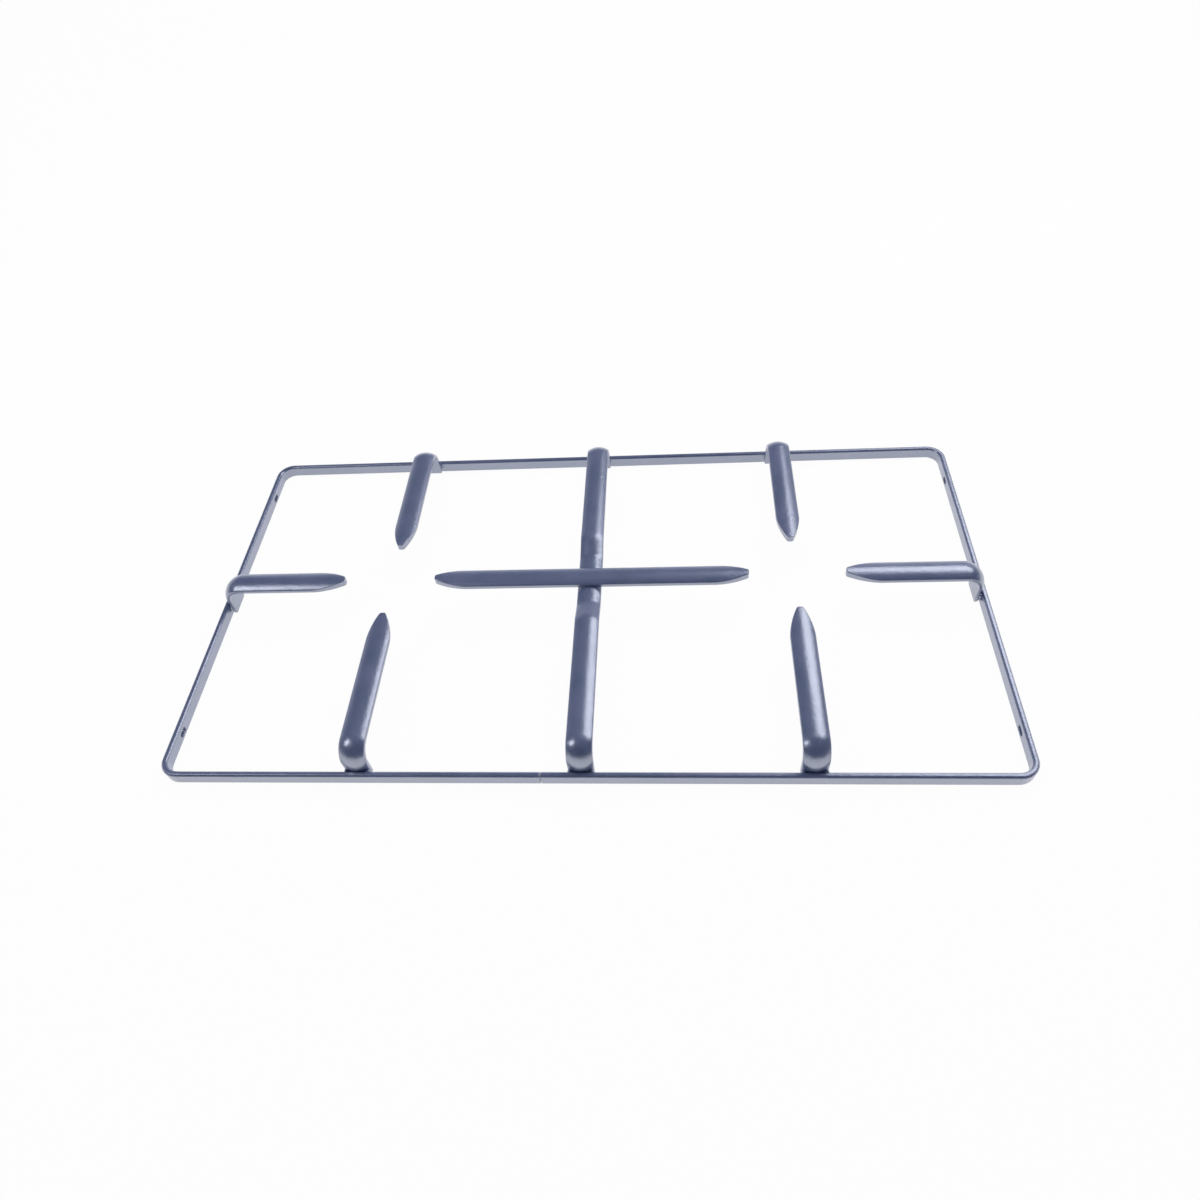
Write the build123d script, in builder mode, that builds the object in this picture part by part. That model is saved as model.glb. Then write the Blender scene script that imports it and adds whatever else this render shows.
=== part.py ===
"""Hob pan support: an enamelled weldment of one bent strip and eight bars.

Millimetres. X runs along the long side, +Y to the rear, +Z up. The origin is under the
middle of the frame, on the plane that the strip stands on.
"""
from build123d import *
import os

# Frame strip, standing on edge and bent to a rectangle
frame_length = 470.0
frame_width = 251.0
strip_height = 8.0
strip_thickness = 3.4
strip_top_chamfer = 0.9
strip_foot_chamfer = 0.6
corner_radius = 11.0

# Butt joint of the strip's two ends, in the front rail
joint_gap = 0.4
joint_offset = 21.5

# Oblong holes for push-in feet, through the side rails
foot_slot_length = 6.4
foot_slot_height = 3.0
foot_slot_level = 3.4
foot_slot_spacing = 191.0

# Bar stock: flat below, crowned above, with rounded shoulders
bar_width = 14.2
bar_height = 4.2
shoulder_radius = 0.8
cross_bar_width = 13.0

# Level of the pans, bend from a bar down into its leg, and the leg's end above the strip's foot
pan_level = 25.2
bend_radius = 8.2
leg_clearance = 2.2

# How far a welded crown beds into the piece that it meets
weld_bedding = 0.5

# Cropped tips
tip_length = 19.0
tip_width = 3.2
tip_bulge = 1.0
tip_corner_radius = 1.4

# Reach of the fingers from the strip's inner face, and places along the rails
rail_finger_reach = 95.0
side_finger_reach = 80.0
rail_finger_offset = 122.0
cross_bar_length = 190.0

# Joggle that takes the centre bar under the cross bar
joggle_flat = 38.0
joggle_ramp = 13.0
joggle_radius = 14.0

# Faces and levels that the sizes above give. The crown is rolled to the radius of the bend's outside
inner_length = frame_length - 2 * strip_thickness
inner_width = frame_width - 2 * strip_thickness
crown_radius = bend_radius + bar_height
under_level = pan_level - bar_height
leg_inset = bar_height - weld_bedding
joggle_level = under_level - leg_inset
up = Vector(0, 0, 1)


def bar_section(plane, width):
    """Section of the bar stock, flat along the plane's X axis and crowned towards its Y axis."""
    with BuildSketch(plane) as section:
        with Locations((0, bar_height - crown_radius)):
            Circle(crown_radius)
        with Locations((0, bar_height / 2)):
            Rectangle(width, bar_height, mode=Mode.INTERSECT)
        fillet(section.vertices().group_by(Axis.Y)[-1], radius=shoulder_radius)
    return section.sketch


def tip_crops(plane, width):
    """The two corners cropped off a bar, whose nose is at the plane's origin and faces its X axis."""
    with BuildSketch(plane) as crops:
        with BuildLine():
            crop = SagittaArc((-tip_length, width / 2), (0, tip_width / 2), tip_bulge)
            Polyline(crop @ 1, (tip_length, tip_width / 2), (tip_length, width), (-tip_length, width), crop @ 0)
        make_face()
        mirror(about=Plane.XZ)
    return crops.sketch


def weld_land(seat, inward):
    """The patch of the strip's inner face that a leg is welded to."""
    with BuildSketch(Plane(seat, x_dir=up, z_dir=inward)) as land:
        with Locations((strip_height / 2, 0)):
            Rectangle(strip_height, bar_width)
    return land.sketch


os.makedirs("parts", exist_ok=True)

# Frame strip
with BuildPart() as frame_strip:
    with BuildSketch():
        RectangleRounded(frame_length, frame_width, corner_radius)
        RectangleRounded(inner_length, inner_width, corner_radius - strip_thickness, mode=Mode.SUBTRACT)
    extrude(amount=strip_height)
    rims = frame_strip.edges().group_by(Axis.Z)
    chamfer(rims[0], length=strip_foot_chamfer)
    chamfer(rims[-1], length=strip_top_chamfer)
    with BuildSketch(Plane.YZ):
        with GridLocations(foot_slot_spacing, 0, 2, 1):
            with Locations((0, foot_slot_level)):
                SlotOverall(foot_slot_length, foot_slot_height)
    extrude(amount=frame_length / 2, both=True, mode=Mode.SUBTRACT)
    with BuildSketch():
        with Locations((-joint_offset, (strip_thickness - frame_width) / 2)):
            Rectangle(joint_gap, strip_thickness)
    extrude(amount=strip_height, mode=Mode.SUBTRACT)
frame_strip.part.label = "frame_strip"
export_step(frame_strip.part, "parts/frame_strip.step")

# Six fingers, each from a seat on the strip's inner face inwards to a cropped tip
fingers = {
    "front_left_finger": (-rail_finger_offset, -inner_width / 2, Vector(0, 1, 0), rail_finger_reach),
    "front_right_finger": (rail_finger_offset, -inner_width / 2, Vector(0, 1, 0), rail_finger_reach),
    "rear_left_finger": (-rail_finger_offset, inner_width / 2, Vector(0, -1, 0), rail_finger_reach),
    "rear_right_finger": (rail_finger_offset, inner_width / 2, Vector(0, -1, 0), rail_finger_reach),
    "left_finger": (-inner_length / 2, 0, Vector(1, 0, 0), side_finger_reach),
    "right_finger": (inner_length / 2, 0, Vector(-1, 0, 0), side_finger_reach),
}
for name, (seat_x, seat_y, inward, reach) in fingers.items():
    seat = Vector(seat_x, seat_y, 0)
    across = inward.cross(up)
    nose = seat + inward * reach
    with BuildPart() as finger:
        with BuildLine(Plane(seat, x_dir=inward, z_dir=across)) as run:
            FilletPolyline(
                (reach, under_level),
                (leg_inset, under_level),
                (leg_inset, leg_clearance),
                radius=bend_radius,
            )
        sweep(bar_section(Plane(run.line @ 0, x_dir=across, z_dir=run.line % 0), bar_width), path=run.line)
        extrude(weld_land(seat, inward), amount=-weld_bedding, mode=Mode.SUBTRACT)
        crops = tip_crops(Plane(nose + up * pan_level, x_dir=inward, z_dir=up), bar_width)
        extrude(crops, amount=-bar_height, mode=Mode.SUBTRACT)
        nose_edges = finger.edges().filter_by(Axis.Z).group_by(Axis(seat, inward))[-1]
        fillet(nose_edges, radius=tip_corner_radius)
    finger.part.label = name
    export_step(finger.part, f"parts/{name}.step")

# Cross bar, straight and cropped at both ends
with BuildPart() as cross_bar:
    left_end = Vector(-cross_bar_length / 2, 0, under_level)
    extrude(bar_section(Plane(left_end, x_dir=(0, 1, 0), z_dir=(1, 0, 0)), cross_bar_width), amount=cross_bar_length)
    for facing in (Vector(1, 0, 0), Vector(-1, 0, 0)):
        nose = facing * (cross_bar_length / 2) + up * pan_level
        crops = tip_crops(Plane(nose, x_dir=facing, z_dir=up), cross_bar_width)
        extrude(crops, amount=-bar_height, mode=Mode.SUBTRACT)
    uprights = cross_bar.edges().filter_by(Axis.Z).group_by(Axis.X)
    fillet(uprights[0] + uprights[-1], radius=tip_corner_radius)
cross_bar.part.label = "cross_bar"
export_step(cross_bar.part, "parts/cross_bar.step")

# Centre bar, from leg to leg, with a joggle that passes under the cross bar
with BuildPart() as centre_bar:
    leg_line = inner_width / 2 - leg_inset
    with BuildLine(Plane.YZ) as run:
        FilletPolyline(
            (-leg_line, leg_clearance),
            (-leg_line, under_level),
            (-joggle_flat / 2 - joggle_ramp, under_level),
            (-joggle_flat / 2, joggle_level),
            (joggle_flat / 2, joggle_level),
            (joggle_flat / 2 + joggle_ramp, under_level),
            (leg_line, under_level),
            (leg_line, leg_clearance),
            radius=[bend_radius, joggle_radius, joggle_radius, joggle_radius, joggle_radius, bend_radius],
        )
    sweep(bar_section(Plane(run.line @ 0, x_dir=(-1, 0, 0), z_dir=up), bar_width), path=run.line)
    for inward in (Vector(0, 1, 0), Vector(0, -1, 0)):
        extrude(weld_land(inward * (-inner_width / 2), inward), amount=-weld_bedding, mode=Mode.SUBTRACT)
    with BuildSketch(Plane.XY.offset(under_level)):
        Rectangle(bar_width, cross_bar_width)
    extrude(amount=bar_height, mode=Mode.SUBTRACT)
centre_bar.part.label = "centre_bar"
export_step(centre_bar.part, "parts/centre_bar.step")
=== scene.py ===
import math

import bpy
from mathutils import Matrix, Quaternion, Vector


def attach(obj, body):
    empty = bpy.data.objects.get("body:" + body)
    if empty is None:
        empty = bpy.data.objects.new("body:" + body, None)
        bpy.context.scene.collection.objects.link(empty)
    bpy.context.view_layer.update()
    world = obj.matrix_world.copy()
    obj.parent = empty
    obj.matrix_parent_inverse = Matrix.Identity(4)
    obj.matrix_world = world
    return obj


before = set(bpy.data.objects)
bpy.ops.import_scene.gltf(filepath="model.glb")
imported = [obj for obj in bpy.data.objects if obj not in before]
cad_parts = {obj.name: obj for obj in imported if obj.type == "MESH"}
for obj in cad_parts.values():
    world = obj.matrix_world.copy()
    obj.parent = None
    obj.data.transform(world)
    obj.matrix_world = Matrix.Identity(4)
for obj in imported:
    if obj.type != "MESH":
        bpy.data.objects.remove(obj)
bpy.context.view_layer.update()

MM = 0.001

# Camera of the photograph, in the object's frame
CAMERA_PLACE = (51.03 * MM, -334.04 * MM, 413.72 * MM)
CAMERA_TURN = (39.000, 4.447, 2.452)
CAMERA_LENS = 25.668
CAMERA_SENSOR = 36.0

# Softboxes: bearing clockwise from the rear, rise above the floor, distance, width, height, roll and radiance
SOFTBOXES = {
    "softbox_rear_right": (48.5, 45.5, 0.95, 0.58, 0.46, 16.0, 2.2),
    "softbox_left": (255.0, 49.0, 1.2, 0.36, 0.46, 0.0, 3.0),
}

# Wide fill from high behind the object, which the enamel doesn't mirror
FILL = (0.0, 60.0, 2.5, 2.4, 2.4, 0.0, 2.0)

# Dim room over the floor, pale along the horizon and a little more so to the rear
ROOM_PALE = (0.55, 0.56, 0.60)
ROOM_DIM = (0.08, 0.09, 0.13)
ROOM_AXIS = (0.0, -0.15, 0.99)
ROOM_FADE = (-0.08, 0.36)
FLOOR_SIZE = 30.0
FLOOR_TONE = (0.9, 0.9, 0.9)
FLOOR_GLOW_SHARE = 0.97

# Enamel colours. A noise has its features to the metre, its detail and its roughness
ENAMEL_DEEP = (0.086, 0.120, 0.232)
ENAMEL_PALE = (0.138, 0.160, 0.296)
TONE_NOISE = (70.0, 3.0, 0.6)
TONE_REACH = (0.35, 0.65)

# Enamel gloss
ENAMEL_GLEAM = (0.70, 0.77, 1.0)
ENAMEL_IOR = 3.1
GLOSS_NOISE = (260.0, 3.0, 0.5)
GLOSS_REACH = (0.3, 0.7)
GLOSS_ROUGHNESS = (0.28, 0.38)
COAT_IOR = 2.3
COAT_ROUGHNESS = 0.28

# Enamel relief over softened edges: waves, lumps and orange peel, each with its noise, strength and depth
EDGE_RADIUS = 0.9 * MM
EDGE_SAMPLES = 8
RELIEF = [
    ((110.0, 2.0, 0.5), 0.25, 0.25 * MM),
    ((480.0, 2.0, 0.5), 0.60, 0.18 * MM),
    ((900.0, 2.0, 0.5), 0.18, 0.08 * MM),
]

# Legs: the seat on the strip, in millimetres, and the way inwards from it
LEG_SEATS = [
    (-122.0, -122.1, 0, 1),
    (0.0, -122.1, 0, 1),
    (122.0, -122.1, 0, 1),
    (-122.0, 122.1, 0, -1),
    (0.0, 122.1, 0, -1),
    (122.0, 122.1, 0, -1),
    (-231.6, 0.0, 1, 0),
    (231.6, 0.0, -1, 0),
]

# Fillet welds up both sides of each leg, in millimetres. Ripple and swell have a share and a pace
WELD_OFFSET = 5.9
WELD_STANDOFF = 0.7
WELD_RADIUS = 1.2
WELD_FOOT = 2.8
WELD_HEAD = 7.7
WELD_SHIFT = 0.25
WELD_STAGGER = 2.4
WELD_RIPPLE = (0.10, 26)
WELD_SWELL = (0.12, 7)
WELD_RINGS = 22
WELD_SIDES = 14


def add(tree, kind, **settings):
    """A node of the given kind, with its own settings."""
    node = tree.nodes.new(kind)
    for key, value in settings.items():
        setattr(node, key, value)
    return node


def noise(tree, vector, scale, detail, roughness):
    """Noise in object space."""
    node = add(tree, "ShaderNodeTexNoise")
    node.inputs["Scale"].default_value = scale
    node.inputs["Detail"].default_value = detail
    node.inputs["Roughness"].default_value = roughness
    tree.links.new(vector, node.inputs["Vector"])
    return node.outputs["Fac"]


def span(tree, value, low, high, to_low, to_high):
    """The value taken from one range to another, held at its ends."""
    node = add(tree, "ShaderNodeMapRange")
    for key, number in zip(("From Min", "From Max", "To Min", "To Max"), (low, high, to_low, to_high)):
        node.inputs[key].default_value = number
    tree.links.new(value, node.inputs["Value"])
    return node.outputs["Result"]


def bump(tree, height, strength, distance, normal):
    """A bump of the given depth on top of another normal."""
    node = add(tree, "ShaderNodeBump")
    node.inputs["Strength"].default_value = strength
    node.inputs["Distance"].default_value = distance
    tree.links.new(height, node.inputs["Height"])
    tree.links.new(normal, node.inputs["Normal"])
    return node.outputs["Normal"]


def make_enamel():
    """Gloss slate-blue enamel: softened edges, lumps, orange peel, uneven gloss and slow changes of tone."""
    material = bpy.data.materials.new("enamel")
    material.use_nodes = True
    tree = material.node_tree
    shader = tree.nodes["Principled BSDF"]
    place = add(tree, "ShaderNodeTexCoord").outputs["Object"]

    tone = span(tree, noise(tree, place, *TONE_NOISE), *TONE_REACH, 0.0, 1.0)
    colours = add(tree, "ShaderNodeMix", data_type="RGBA")
    colours.inputs["A"].default_value = (*ENAMEL_DEEP, 1.0)
    colours.inputs["B"].default_value = (*ENAMEL_PALE, 1.0)
    tree.links.new(tone, colours.inputs["Factor"])
    tree.links.new(colours.outputs["Result"], shader.inputs["Base Color"])

    gloss = span(tree, noise(tree, place, *GLOSS_NOISE), *GLOSS_REACH, *GLOSS_ROUGHNESS)
    tree.links.new(gloss, shader.inputs["Roughness"])
    shader.inputs["IOR"].default_value = ENAMEL_IOR
    shader.inputs["Specular Tint"].default_value = (*ENAMEL_GLEAM, 1.0)
    shader.inputs["Coat Weight"].default_value = 1.0
    shader.inputs["Coat IOR"].default_value = COAT_IOR
    shader.inputs["Coat Roughness"].default_value = COAT_ROUGHNESS

    rounded = add(tree, "ShaderNodeBevel", samples=EDGE_SAMPLES)
    rounded.inputs["Radius"].default_value = EDGE_RADIUS
    normal = rounded.outputs["Normal"]
    for grain, strength, depth in RELIEF:
        normal = bump(tree, noise(tree, place, *grain), strength, depth, normal)
    tree.links.new(normal, shader.inputs["Normal"])
    tree.links.new(normal, shader.inputs["Coat Normal"])
    return material


def make_floor():
    """Plain white floor, which mostly glows for the eye and in the enamel, and keeps a faint shadow."""
    material = bpy.data.materials.new("floor")
    material.use_nodes = True
    tree = material.node_tree
    tree.nodes.clear()
    path = add(tree, "ShaderNodeLightPath")
    seen = path.outputs["Is Camera Ray"]
    for name in ("Is Glossy Ray", "Is Transmission Ray"):
        either = add(tree, "ShaderNodeMath", operation="MAXIMUM")
        tree.links.new(seen, either.inputs[0])
        tree.links.new(path.outputs[name], either.inputs[1])
        seen = either.outputs["Value"]
    share = add(tree, "ShaderNodeMath", operation="MULTIPLY")
    share.inputs[1].default_value = FLOOR_GLOW_SHARE
    tree.links.new(seen, share.inputs[0])
    matt = add(tree, "ShaderNodeBsdfDiffuse")
    matt.inputs["Color"].default_value = (*FLOOR_TONE, 1.0)
    glow = add(tree, "ShaderNodeEmission")
    mix = add(tree, "ShaderNodeMixShader")
    tree.links.new(share.outputs["Value"], mix.inputs["Fac"])
    tree.links.new(matt.outputs["BSDF"], mix.inputs[1])
    tree.links.new(glow.outputs["Emission"], mix.inputs[2])
    out = add(tree, "ShaderNodeOutputMaterial")
    tree.links.new(mix.outputs["Shader"], out.inputs["Surface"])

    half = FLOOR_SIZE / 2
    corners = [(-half, -half, 0), (half, -half, 0), (half, half, 0), (-half, half, 0)]
    mesh = bpy.data.meshes.new("floor")
    mesh.from_pydata(corners, [], [(0, 1, 2, 3)])
    mesh.materials.append(material)
    floor = bpy.data.objects.new("floor", mesh)
    bpy.context.scene.collection.objects.link(floor)


def make_room():
    """Dim room for the enamel to mirror, pale along the horizon."""
    world = bpy.data.worlds.new("room")
    world.use_nodes = True
    tree = world.node_tree
    rise = add(tree, "ShaderNodeVectorMath", operation="DOT_PRODUCT")
    rise.inputs[1].default_value = ROOM_AXIS
    tree.links.new(add(tree, "ShaderNodeTexCoord").outputs["Generated"], rise.inputs[0])
    fade = add(tree, "ShaderNodeMix", data_type="RGBA")
    fade.inputs["A"].default_value = (*ROOM_PALE, 1.0)
    fade.inputs["B"].default_value = (*ROOM_DIM, 1.0)
    tree.links.new(span(tree, rise.outputs["Value"], *ROOM_FADE, 0.0, 1.0), fade.inputs["Factor"])
    tree.links.new(fade.outputs["Result"], tree.nodes["Background"].inputs["Color"])
    bpy.context.scene.world = world


def make_softbox(name, bearing, rise, distance, width, height, roll, radiance):
    """A rectangular lamp that faces the object."""
    bearing, rise = math.radians(bearing), math.radians(rise)
    way = Vector((math.sin(bearing) * math.cos(rise), math.cos(bearing) * math.cos(rise), math.sin(rise)))
    lamp = bpy.data.lights.new(name, "AREA")
    lamp.shape = "RECTANGLE"
    lamp.size = width
    lamp.size_y = height
    lamp.energy = radiance * math.pi * width * height
    softbox = bpy.data.objects.new(name, lamp)
    softbox.location = way * distance
    softbox.rotation_mode = "QUATERNION"
    softbox.rotation_quaternion = way.to_track_quat("Z", "Y") @ Quaternion((0, 0, 1), math.radians(roll))
    softbox.visible_camera = False
    bpy.context.scene.collection.objects.link(softbox)
    return softbox


def weld_corners(centre_x, centre_y, phase):
    """Rings of points up one weld, rippled along its length and rounded off at its ends."""
    corners = []
    ripple, ripple_pace = WELD_RIPPLE
    swell, swell_pace = WELD_SWELL
    for ring in range(WELD_RINGS):
        along = (ring + 0.5) / WELD_RINGS
        level = WELD_FOOT + (WELD_HEAD - WELD_FOOT) * along + WELD_SHIFT * math.sin(phase)
        taper = (1 - (2 * along - 1) ** 4) ** 0.5
        rippled = ripple * math.sin(ripple_pace * along + phase)
        swollen = swell * math.sin(swell_pace * along - phase)
        radius = WELD_RADIUS * taper * (1 + rippled + swollen)
        for step in range(WELD_SIDES):
            turn = 2 * math.pi * step / WELD_SIDES
            x = centre_x + radius * math.cos(turn)
            y = centre_y + radius * math.sin(turn)
            corners.append((x * MM, y * MM, level * MM))
    return corners


def weld_faces(first):
    """Skin over the rings of one weld, closed at both ends, from its first point's number."""
    faces = []
    for ring in range(WELD_RINGS - 1):
        start = first + ring * WELD_SIDES
        for step in range(WELD_SIDES):
            here = start + step
            beside = start + (step + 1) % WELD_SIDES
            faces.append((here, beside, beside + WELD_SIDES, here + WELD_SIDES))
    last = first + (WELD_RINGS - 1) * WELD_SIDES
    faces.append(tuple(range(first + WELD_SIDES - 1, first - 1, -1)))
    faces.append(tuple(range(last, last + WELD_SIDES)))
    return faces


def make_welds(material):
    """Fillet welds of the legs, each a little different, as one piece."""
    corners, faces = [], []
    for count, (seat_x, seat_y, inward_x, inward_y) in enumerate(LEG_SEATS):
        for side in (-1, 1):
            faces += weld_faces(len(corners))
            centre_x = seat_x + inward_x * WELD_STANDOFF - inward_y * side * WELD_OFFSET
            centre_y = seat_y + inward_y * WELD_STANDOFF + inward_x * side * WELD_OFFSET
            corners += weld_corners(centre_x, centre_y, WELD_STAGGER * count + side)
    mesh = bpy.data.meshes.new("welds")
    mesh.from_pydata(corners, [], faces)
    mesh.shade_smooth()
    mesh.materials.append(material)
    welds = bpy.data.objects.new("welds", mesh)
    bpy.context.scene.collection.objects.link(welds)
    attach(welds, "root")


def make_camera():
    """The photograph's camera, for a square frame."""
    data = bpy.data.cameras.new("camera")
    data.sensor_width = CAMERA_SENSOR
    data.lens = CAMERA_LENS
    camera = bpy.data.objects.new("camera", data)
    camera.location = CAMERA_PLACE
    camera.rotation_euler = [math.radians(angle) for angle in CAMERA_TURN]
    bpy.context.scene.collection.objects.link(camera)
    bpy.context.scene.camera = camera


bpy.context.scene.view_settings.view_transform = "Standard"
make_camera()
make_room()
make_floor()
for name, numbers in SOFTBOXES.items():
    make_softbox(name, *numbers)
make_softbox("softbox_top", *FILL).visible_glossy = False

enamel = make_enamel()
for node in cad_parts.values():
    node.data.materials.clear()
    node.data.materials.append(enamel)
make_welds(enamel)
